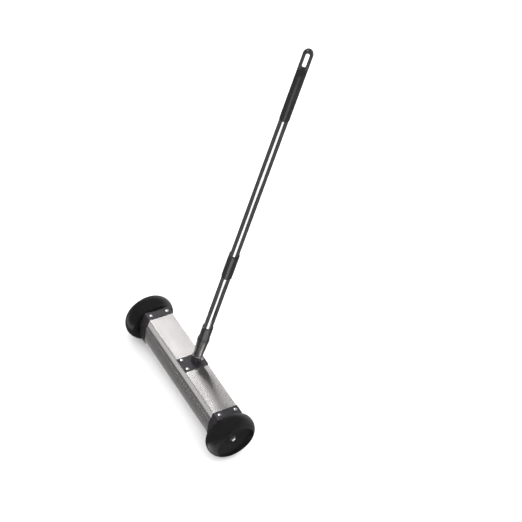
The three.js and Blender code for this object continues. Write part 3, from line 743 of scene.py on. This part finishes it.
AXLE_BORE = 4.15
AXLE_RADIUS = 4
AXLE_HEAD = {"height": 3.2, "rim": 1.3}
AXLE_RECESS = {"half_length": 2.9, "half_width": 0.65, "depth": 2, "turn": math.radians(20)}


def build_axle_bolt(hand, side):
    """Shoulder bolt with a cross recess in its domed head."""
    node = "axle_bolt_" + hand
    place = wheel_frame(side)
    low, high = span(node, place)
    head_low = high.z - AXLE_HEAD["height"]
    bolt = rounded([
        (0, low.z),
        (AXLE_RADIUS, low.z, 0.6),
        (AXLE_RADIUS, head_low, 0.2),
        (high.y, head_low, 0.4),
        (high.y, head_low + AXLE_HEAD["rim"], 0.8),
        (high.y * 0.72, high.z - 0.4, 3),
        (0, high.z),
    ], closed=False)
    length, width, depth = (AXLE_RECESS[size] for size in ("half_length", "half_width", "depth"))
    slots = [
        prism(rectangle(-length, length, -width, width, 0.3), high.z - depth, high.z + depth,
              Matrix.Rotation(AXLE_RECESS["turn"] + quarter * math.pi / 2, 4, "Z"))
        for quarter in range(2)
    ]
    piece(node, combined(lathe(bolt, 64), "DIFFERENCE", *slots), place)


# -------- rivets
RIVET = {"shank": 2.3, "tail": 3.2, "tail_height": 1.6, "head_height": 1.8, "rim": 0.45}
# The hole in the middle of the head, with the mandrel's end in it.
RIVET_HOLE = {"edge": 1.5, "wall": 1.25, "foot": 1.05, "depth": 0.7, "mandrel": 0.95}


def build_rivet(node):
    """Blind rivet: domed head with the broken-off mandrel set in its middle."""
    low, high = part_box(node)
    centre = (low + high) / 2
    place = Matrix.Translation((centre.x, centre.y, 0))
    head = (high.x - low.x) / 2 / MM
    top = high.z / MM
    seat = top - RIVET["head_height"]
    bottom = low.z / MM
    tail_top = bottom + RIVET["tail_height"]
    hole_floor = top - RIVET_HOLE["depth"]
    profile = rounded([
        (0, bottom),
        (RIVET["tail"], bottom, 0.8),
        (RIVET["tail"], tail_top, 0.5),
        (RIVET["shank"], tail_top + 0.3),
        (RIVET["shank"], seat),
        (head, seat, 0.15),
        (head, seat + RIVET["rim"], 0.3),
        (head * 0.72, top - 0.35, 2),
        (RIVET_HOLE["edge"], top, 0.3),
        (RIVET_HOLE["wall"], hole_floor, 0.1),
        (RIVET_HOLE["foot"], hole_floor, 0.1),
        (RIVET_HOLE["mandrel"], top - 0.25, 0.3),
        (0, top - 0.15),
    ], closed=False)
    piece(node, lathe(profile, 48), place)


# -------- handle bracket and pivot
CHANNEL = {"half_width": 9.1, "front": -2.6, "back": 17.3, "height": 21, "wall": 2, "bend": 4, "crown": 6}
PLATE_THICKNESS = 1.6
PIVOT_HOLE = 3.15
PIVOT_BOLT = {"radius": 3, "head_height": 3, "rim": 0.7, "key_radius": 2, "key_depth": 2}
PIVOT_NUT = {"bore": 3.2, "chamfer": 0.7, "chamfer_height": 0.6, "corner_gap": 0.2}
SPACER_BORE = 3.2


def build_bracket():
    """Painted plate with a folded channel standing on it, drilled for the pivot bolt."""
    node = "handle_bracket"
    low, high = span(node, HOUSING_FRAME)
    half = CHANNEL["half_width"]
    wall = CHANNEL["wall"]
    front = CHANNEL["front"]
    back = CHANNEL["back"]
    plate_top = low.z + PLATE_THICKNESS
    top = plate_top + CHANNEL["height"]
    plate = prism(rectangle(low.x, high.x, low.y, high.y, 2.5), low.z, plate_top)
    channel = prism(rounded([
        (half, back),
        (half - wall, back),
        (half - wall, front + wall, CHANNEL["bend"] - wall),
        (wall - half, front + wall, CHANNEL["bend"] - wall),
        (wall - half, back),
        (-half, back),
        (-half, front, CHANNEL["bend"]),
        (half, front, CHANNEL["bend"]),
    ]), plate_top - PLATE_THICKNESS / 2, top)
    side = prism(rounded([
        (front - THROUGH, low.z),
        (back, low.z),
        (back, top, CHANNEL["crown"]),
        (front - THROUGH, top),
    ]), -THROUGH, THROUGH, DEPTH_ALONG_X)
    channel = combined(channel, "INTERSECT", side)
    pivot = PIVOT_FRAME.translation - HOUSING_FRAME.translation
    across = Matrix.Translation(pivot) @ PIVOT_FRAME.to_3x3().to_4x4()
    hole = rod(PIVOT_HOLE, -THROUGH, THROUGH, across)
    mesh = combined(combined(plate, "UNION", channel), "DIFFERENCE", hole)
    piece(node, mesh, HOUSING_FRAME, edge=0.35)


def hexagon(radius):
    angles = [math.pi / 3 * corner for corner in range(6)]
    return [(radius * math.cos(angle), radius * math.sin(angle)) for angle in angles]


def build_pivot_bolt():
    """Button-head bolt with a hexagon recess."""
    node = "pivot_bolt"
    low, high = span(node, PIVOT_FRAME)
    seat = high.z - PIVOT_BOLT["head_height"]
    bolt = rounded([
        (0, low.z),
        (PIVOT_BOLT["radius"], low.z, 0.5),
        (PIVOT_BOLT["radius"], seat, 0.2),
        (high.y, seat, 0.3),
        (high.y, seat + PIVOT_BOLT["rim"], 0.4),
        (high.y * 0.6, high.z, 2),
        (0, high.z),
    ], closed=False)
    key = prism(hexagon(PIVOT_BOLT["key_radius"]), high.z - PIVOT_BOLT["key_depth"], high.z + THROUGH)
    piece(node, combined(lathe(bolt, 64), "DIFFERENCE", key), PIVOT_FRAME)


def build_pivot_nut():
    """Hexagon nut whose corners are turned off at both ends."""
    node = "pivot_nut"
    low, high = span(node, PIVOT_FRAME)
    blank = prism(hexagon(high.x), low.z, high.z)
    end_radius = high.x - PIVOT_NUT["chamfer"]
    full_radius = high.x + PIVOT_NUT["corner_gap"]
    crown = lathe([
        (0, low.z),
        (end_radius, low.z),
        (full_radius, low.z + PIVOT_NUT["chamfer_height"]),
        (full_radius, high.z - PIVOT_NUT["chamfer_height"]),
        (end_radius, high.z),
        (0, high.z),
    ], 64)
    bore = rod(PIVOT_NUT["bore"], low.z - THROUGH, high.z + THROUGH)
    nut = combined(combined(blank, "INTERSECT", crown), "DIFFERENCE", bore)
    piece(node, nut, PIVOT_FRAME, edge=0.15)


# -------- handle
TONGUE = {"half_thickness": 3.7, "half_width": 7.6, "top": 24}
# Radii of the socket from the pivot upwards, and the heights of its ends, neck and shoulder.
SOCKET = {
    "bottom": 10.7,
    "neck": 12.4,
    "neck_top": 16,
    "shoulder": 13.6,
    "shoulder_top": 38,
    "body": 14.0,
    "ring_seat": 13.6,
    "mouth": 13.4,
    "bore": 11.8,
    "floor": 40,
}


def build_socket():
    """Moulded socket: flat tongue on the pivot, tapering neck, seat of the clamp ring and a long sleeve."""
    node = "handle_socket"
    _, high = span(node, HANDLE_FRAME)
    ring_low, ring_high = (corner.z for corner in span("clamp_ring", HANDLE_FRAME))
    top = high.z
    body = lathe(rounded([
        (0, SOCKET["bottom"]),
        (SOCKET["neck"], SOCKET["bottom"], 0.3),
        (SOCKET["neck"], SOCKET["neck_top"], 4),
        (SOCKET["shoulder"], SOCKET["shoulder_top"], 20),
        (SOCKET["body"], ring_low - 4, 0.8),
        (SOCKET["body"] + 0.2, ring_low - 0.3, 0.5),
        (SOCKET["ring_seat"], ring_low - 0.2),
        (SOCKET["ring_seat"], ring_high + 0.3),
        (SOCKET["body"] + 0.1, ring_high + 0.4, 0.4),
        (SOCKET["body"], ring_high + 2.6, 1),
        (SOCKET["mouth"] + 0.05, ring_high + 3.4, 1),
        (SOCKET["mouth"], top, 0.9),
        (SOCKET["bore"], top, 0.5),
        (SOCKET["bore"], SOCKET["floor"]),
        (0, SOCKET["floor"]),
    ], closed=False), 128)
    half = TONGUE["half_width"]
    blade = prism(rounded([
        (half, -half, half * HALF_ROUND),
        (half, TONGUE["top"]),
        (-half, TONGUE["top"]),
        (-half, -half, half * HALF_ROUND),
    ]), -TONGUE["half_thickness"], TONGUE["half_thickness"], DEPTH_ALONG_X)
    eye = rod(PIVOT_HOLE, -THROUGH, THROUGH, Matrix.Rotation(math.pi / 2, 4, "Y"))
    mesh = combined(combined(body, "UNION", blade), "DIFFERENCE", eye)
    piece(node, mesh, HANDLE_FRAME)


FERRULE_BORE = 8.8
CLAMP_RING_BORE = 13.9
# Distances of the set screw's tip, seat and top from the handle's axis, and the radii of its thread and head.
SET_SCREW = {"turn": math.radians(225), "tip": 11.65, "seat": 13.8, "top": 15.3, "thread": 1.6, "head": 2.6}
SCREW_SLOT = {"half_length": 3, "half_width": 0.35, "depth": 0.8}
SCREW_CLEARANCE = 0.3


def set_screw_frame():
    """Local Z points outwards through the middle of the clamp ring, along the set screw."""
    low, high = span("clamp_ring", HANDLE_FRAME)
    middle = Vector((0, 0, (low.z + high.z) / 2)) * MM
    turn = Matrix.Rotation(SET_SCREW["turn"], 4, "Z") @ Matrix.Rotation(math.pi / 2, 4, "Y")
    return Matrix.Translation(middle) @ turn


def build_clamp_ring():
    """Clamp ring with the pocket of its set screw."""
    node = "clamp_ring"
    low, high = span(node, HANDLE_FRAME)
    band = lathe(rounded([
        (CLAMP_RING_BORE, low.z, 0.3),
        (high.x, low.z, 1.6),
        (high.x, high.z, 1.6),
        (CLAMP_RING_BORE, high.z, 0.3),
    ]), 128, loop=True)
    pocket = rod(SET_SCREW["head"] + SCREW_CLEARANCE, 0, SET_SCREW["top"] + THROUGH, set_screw_frame())
    piece(node, combined(band, "DIFFERENCE", pocket), HANDLE_FRAME, edge=0.2)


def build_set_screw():
    node = "socket_screw"
    seat = SET_SCREW["seat"]
    top = SET_SCREW["top"]
    head = SET_SCREW["head"]
    body = lathe(rounded([
        (0, SET_SCREW["tip"]),
        (SET_SCREW["thread"], SET_SCREW["tip"], 0.3),
        (SET_SCREW["thread"], seat),
        (head, seat, 0.2),
        (head, top - 0.7, 0.4),
        (head - 0.8, top, 0.6),
        (0, top),
    ], closed=False), 48)
    body.transform(set_screw_frame())
    length, width, depth = (SCREW_SLOT[size] for size in ("half_length", "half_width", "depth"))
    slot = prism(rectangle(-length, length, -width, width), top - depth, top + depth, set_screw_frame())
    piece(node, combined(body, "DIFFERENCE", slot), HANDLE_FRAME)


TUBE_WALLS = {"lower_tube": 0.35, "upper_tube": 0.7}
TUBE_EDGE_SHARE = 0.3


def build_tube(node, wall):
    low, high = span(node, HANDLE_FRAME)
    outer = max(high.x, high.y)
    edge = wall * TUBE_EDGE_SHARE
    profile = rounded([
        (outer - wall, low.z, edge),
        (outer, low.z, edge),
        (outer, high.z, edge),
        (outer - wall, high.z, edge),
    ])
    piece(node, lathe(profile, 128, loop=True), HANDLE_FRAME)


# Bores of the collar at its lower end, round the collet and at its lip, the heights of its lower bore and
# lip, the depth of the groove under the lip and the chamfer at the lower end.
COLLAR = {
    "lower_bore": 11.7,
    "collet_bore": 12.45,
    "lip_bore": 11.3,
    "lower_height": 10,
    "lip_height": 2,
    "groove": 0.35,
    "chamfer": 1.1,
    "chamfer_height": 2.4,
}


def build_twist_collar():
    """Twist-lock collar: chamfered below, with a rolled lip round the upper tube."""
    node = "twist_collar"
    low, high = span(node, HANDLE_FRAME)
    radius = high.x
    waist = radius - COLLAR["groove"]
    lower_top = low.z + COLLAR["lower_height"]
    lip_low = high.z - COLLAR["lip_height"]
    profile = rounded([
        (COLLAR["lower_bore"], low.z, 0.3),
        (radius - COLLAR["chamfer"], low.z, 0.5),
        (radius, low.z + COLLAR["chamfer_height"], 1),
        (radius, lip_low - 1.6, 0.3),
        (waist, lip_low - 1.3, 0.2),
        (waist, lip_low - 0.6, 0.2),
        (radius, lip_low - 0.3, 0.3),
        (radius, high.z, 1.0),
        (COLLAR["lip_bore"], high.z, 0.4),
        (COLLAR["lip_bore"], lip_low),
        (COLLAR["collet_bore"], lip_low),
        (COLLAR["collet_bore"], lower_top),
        (COLLAR["lower_bore"], lower_top),
    ])
    piece(node, lathe(profile, 128, loop=True), HANDLE_FRAME)


GRIP = {"flat_from": 928, "flat_to": 942, "half_thickness": 6, "bore": 11.25, "bore_top": 927}
GRIP_SLOT = {"low": 943, "high": 987.5, "half_width": 4.1}
# Rounding of the grip's lower end: its height, and how far the end face is smaller than the sleeve.
GRIP_MOUTH = {"height": 1, "inset": 0.8}
GRIP_SEGMENTS = 96
GRIP_VOXEL = 0.55


def smooth_step(value, start, end):
    share = min(1, max(0, (value - start) / (end - start)))
    return share * share * (3 - 2 * share)


def grip_half_sizes(height, low, crown, radius):
    """Half width and half thickness of the grip at a height, between its lower end and its round top."""
    flat = smooth_step(height, GRIP["flat_from"], GRIP["flat_to"])
    thickness = radius + (GRIP["half_thickness"] - radius) * flat
    width = radius if height < crown else math.sqrt(radius ** 2 - (height - crown) ** 2)
    inset = 0
    if height - low < GRIP_MOUTH["height"]:
        share = (height - low) / GRIP_MOUTH["height"]
        inset = GRIP_MOUTH["inset"] * (1 - math.sqrt(1 - (1 - share) ** 2))
    return width - inset, thickness - inset


def grip_blank(low, high, radius):
    """Closed loft: a round sleeve that flattens towards a round-topped loop."""
    mesh = bmesh.new()
    crown = high - radius
    mouth = GRIP_MOUTH["height"]
    heights = [low, low + mouth / 4, low + mouth, *evenly_spaced(low + 4 * mouth, crown, 70)[1:]]
    heights += [crown + radius * math.sin(angle) for angle in evenly_spaced(0, math.radians(88), 24)[1:]]
    rings = []
    for height in heights:
        width, thickness = grip_half_sizes(height, low, crown, radius)
        ring = []
        for segment in range(GRIP_SEGMENTS):
            angle = 2 * math.pi * segment / GRIP_SEGMENTS
            x = width * math.cos(angle)
            y = radius * math.sin(angle)
            y = max(-thickness, min(thickness, y))
            ring.append(mesh.verts.new(Vector((x, y, height)) * MM))
        rings.append(ring)
    for below, above in zip(rings, rings[1:]):
        for segment in range(GRIP_SEGMENTS):
            following = (segment + 1) % GRIP_SEGMENTS
            mesh.faces.new((below[segment], below[following], above[following], above[segment]))
    mesh.faces.new(reversed(rings[0]))
    mesh.faces.new(rings[-1])
    return mesh


def build_grip():
    """Moulded grip with a hanging slot; its rims are blended by remeshing and smoothing the cut blank."""
    node = "hand_grip"
    low, high = span(node, GRIP_FRAME)
    radius = high.x
    outline = stadium(GRIP_SLOT["low"], GRIP_SLOT["high"], GRIP_SLOT["half_width"])
    slot = prism(outline, -THROUGH, THROUGH, DEPTH_ALONG_Y)
    made = as_object("work", combined(grip_blank(low.z, high.z, radius), "DIFFERENCE", slot))
    remesh = made.modifiers.new("even", "REMESH")
    remesh.mode = "VOXEL"
    remesh.voxel_size = GRIP_VOXEL * MM
    blend = made.modifiers.new("blend", "SMOOTH")
    blend.factor = 0.5
    blend.iterations = 5
    apply_modifiers(made)
    body = bmesh.new()
    body.from_mesh(made.data)
    bpy.data.objects.remove(made)
    bore = rod(GRIP["bore"], low.z - THROUGH, GRIP["bore_top"], segments=GRIP_SEGMENTS)
    grip = combined(body, "DIFFERENCE", bore)
    grip.transform(GRIP_FRAME)
    piece(node, grip, Matrix.Identity(4), smooth=math.radians(60))


# -------- carried-over CAD nodes
def finish_carried_nodes():
    for name, made in frame["nodes"].items():
        if not made.hide_render:
            made.data.materials.clear()
            made.data.materials.append(surface(name))


# -------- stage, lights and camera
CAMERA_AZIMUTH = math.radians(45.79)
CAMERA_ELEVATION = math.radians(45.48)
CAMERA_ROLL = math.radians(17.19)
CAMERA_DISTANCE = 4.54
CAMERA_LENS = 135.81
CAMERA_AIM_OFFSET = Vector((0.0709, 0.0424, -0.0231))
CAMERA_REACH = 50
FLOOR_HALF_SIZE = 12


def object_centre():
    low, high = (Vector(corner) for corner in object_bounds())
    return (low + high) / 2


def set_camera():
    camera = bpy.data.objects.new("camera", bpy.data.cameras.new("camera"))
    bpy.context.scene.collection.objects.link(camera)
    camera.data.lens = CAMERA_LENS
    camera.data.clip_end = CAMERA_REACH
    turn = (
        Matrix.Rotation(CAMERA_AZIMUTH, 4, "Z")
        @ Matrix.Rotation(math.pi / 2 - CAMERA_ELEVATION, 4, "X")
        @ Matrix.Rotation(CAMERA_ROLL, 4, "Z")
    )
    aim = object_centre() + CAMERA_AIM_OFFSET
    camera.matrix_world = Matrix.Translation(aim) @ turn @ Matrix.Translation((0, 0, CAMERA_DISTANCE))
    bpy.context.scene.camera = camera


def set_floor():
    mesh = bmesh.new()
    bmesh.ops.create_grid(mesh, x_segments=1, y_segments=1, size=FLOOR_HALF_SIZE)
    floor = as_object("floor", mesh)
    floor.data.materials.append(pale_floor())
    floor.visible_glossy = False
    floor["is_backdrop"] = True


def softbox(name, place, aim, size, radiance, shown_in, spin=0):
    """Rectangular light that only shows in reflections, and only in the pieces made for the given nodes."""
    data = bpy.data.lights.new(name, "AREA")
    data.shape = "RECTANGLE"
    data.size, data.size_y = size
    data.energy = radiance * math.pi * size[0] * size[1]
    light = bpy.data.objects.new(name, data)
    bpy.context.scene.collection.objects.link(light)
    direction = Vector(aim) - Vector(place)
    turn = Matrix.Rotation(spin, 4, direction) @ direction.to_track_quat("-Z", "Y").to_matrix().to_4x4()
    light.matrix_world = Matrix.Translation(place) @ turn
    light.visible_camera = False
    light.visible_diffuse = False
    receivers = bpy.data.collections.new(name + "_receivers")
    for node in shown_in:
        if node in PIECES:
            receivers.objects.link(PIECES[node])
    light.light_linking.receiver_collection = receivers


def floor_card(name, place, size, radiance, shown_in, spin=0):
    """Pale board lying on the floor."""
    softbox(name, place, Vector(place) + Z_AXIS, size, radiance, shown_in, spin)


ROOM_LIGHT = 1.9


def set_world():
    """Even white light for diffuse surfaces; reflections show a dim room with a paler wall at the back."""
    world = bpy.data.worlds.new("studio")
    bpy.context.scene.world = world
    world.use_nodes = True
    nodes = Nodes(world.node_tree)
    white = world.node_tree.nodes["Background"]
    white.inputs["Color"].default_value = (1, 1, 1, 1)
    white.inputs["Strength"].default_value = ROOM_LIGHT
    # A view direction has a length of one: upwards is its part along Z, backwards its part along Y.
    direction = nodes.add("TexCoord", output="Generated")
    upwards = nodes.add("SeparateXYZ", output="Z", links={0: direction})
    backwards = nodes.add("SeparateXYZ", output="Y", links={0: direction})
    dusk = nodes.ramp(upwards, 0.10, 0.035, start=-0.5, end=0.1)
    wall_foot = nodes.ramp(upwards, 0, 1, start=-0.65, end=-0.4)
    wall_top = nodes.ramp(upwards, 1, 0, start=0.25, end=0.45)
    wall_side = nodes.ramp(backwards, 0, 0.7, start=0.1, end=0.7)
    wall = nodes.math("MULTIPLY", nodes.math("MULTIPLY", wall_foot, wall_top), wall_side)
    room = nodes.add("Background", links={"Color": nodes.math("ADD", dusk, wall)})
    glossy = nodes.add("LightPath", output="Is Glossy Ray")
    shown = nodes.add("MixShader", links={0: glossy, 1: white.outputs[0], 2: room})
    world.node_tree.links.new(shown, world.node_tree.nodes["World Output"].inputs["Surface"])


SHELL = ["housing_shell"]
HANDLE = [node for body in ("lower_handle", "collar", "upper_handle") for node in NODES_OF[body]]

KEY = {"distance": 6, "aim": (0, 0, 0.1), "size": (1.0, 1.9), "radiance": 37}
KEY_DIRECTION = Vector((-0.487, 0.045, 0.86))

# Boards on the floor: middle, size, radiance, the CAD nodes that show it, and turn in degrees.
FLOOR_BOARDS = {
    "front_board": ((-0.1, -0.158), (1.2, 0.05), 1.0, SHELL, 0),
    "under_board": ((-0.1, -0.02), (1.2, 0.08), 0.62, SHELL, 0),
    "left_wheel_board": ((-0.25, -0.15), (0.3, 0.06), 1.4, NODES_OF["wheel_left"], 0),
    "right_wheel_board": ((0.245, -0.095), (0.14, 0.05), 2.2, NODES_OF["wheel_right"], 20),
    "axle_board": ((0.3, 0.05), (0.12, 0.12), 1.8, ["axle_bolt_right"], 0),
}

# Distance from the housing, length and width of the boards that light the front of the handle.
HANDLE_BOARDS = ((0.30, 0.26, 0.22), (0.62, 0.38, 0.46), (1.15, 0.68, 0.85))
HANDLE_BOARD_DIRECTION = Vector((0.70, -0.71, 0))
HANDLE_BOARD_TURN = math.radians(45)
HANDLE_BOARD_RADIANCE = 1.8


def set_lights():
    """The key gives the bright top of the housing; a mirrored key and soft walls light its other sides."""
    keys = {
        "key_reflection": (KEY_DIRECTION, NODES_OF["housing"] + HANDLE),
        "second_key": (KEY_DIRECTION.reflect(X_AXIS), SHELL),
    }
    for name, (direction, shown_in) in keys.items():
        softbox(name, direction * KEY["distance"], KEY["aim"], KEY["size"], KEY["radiance"], shown_in)
    softbox("overhead", (0, 1, 3), (0, 1, 0), (1.2, 6), 0.9, SHELL)
    softbox("front_wall", (0, -3, -0.3), (0, 0, -0.3), (0.9, 1.8), 0.7, SHELL)
    for name, (middle, size, radiance, shown_in, turn) in FLOOR_BOARDS.items():
        floor_card(name, (*middle, 0), size, radiance, shown_in, math.radians(turn))
    for distance, length, width in HANDLE_BOARDS:
        place = HANDLE_BOARD_DIRECTION * distance
        floor_card("handle_board", place, (width, length), HANDLE_BOARD_RADIANCE, HANDLE, HANDLE_BOARD_TURN)


# -------- assembly
set_camera()
build_housing()
build_pickup_plate()
for hand_name, hand_side in HANDS.items():
    build_end_cap(hand_name, hand_side)
    build_wheel(hand_name, hand_side)
    build_wheel_cover(hand_name, hand_side)
    build_turned_ring("hub_bush_" + hand_name, wheel_frame(hand_side), AXLE_BORE, (0.3, 0.5, 0.4, 0.5))
    build_turned_ring("wheel_washer_" + hand_name, wheel_frame(hand_side), AXLE_BORE, (0.15, 0.3, 0.45, 0.2))
    build_axle_bolt(hand_name, hand_side)
for part in frame["record"]["subparts"]:
    if "rivet" in part["node"]:
        build_rivet(part["node"])
build_bracket()
build_pivot_bolt()
build_pivot_nut()
for hand_name in HANDS:
    build_turned_ring("pivot_spacer_" + hand_name, PIVOT_FRAME, SPACER_BORE, (0.2, 0.4, 0.4, 0.2))
build_socket()
build_turned_ring("socket_ferrule", HANDLE_FRAME, FERRULE_BORE, (0.3, 0.5, 0.5, 0.3), segments=96)
build_clamp_ring()
build_set_screw()
for tube_name, tube_wall in TUBE_WALLS.items():
    build_tube(tube_name, tube_wall)
build_twist_collar()
build_grip()
finish_carried_nodes()
set_floor()
set_world()
set_lights()
bpy.context.scene.view_settings.view_transform = "Standard"
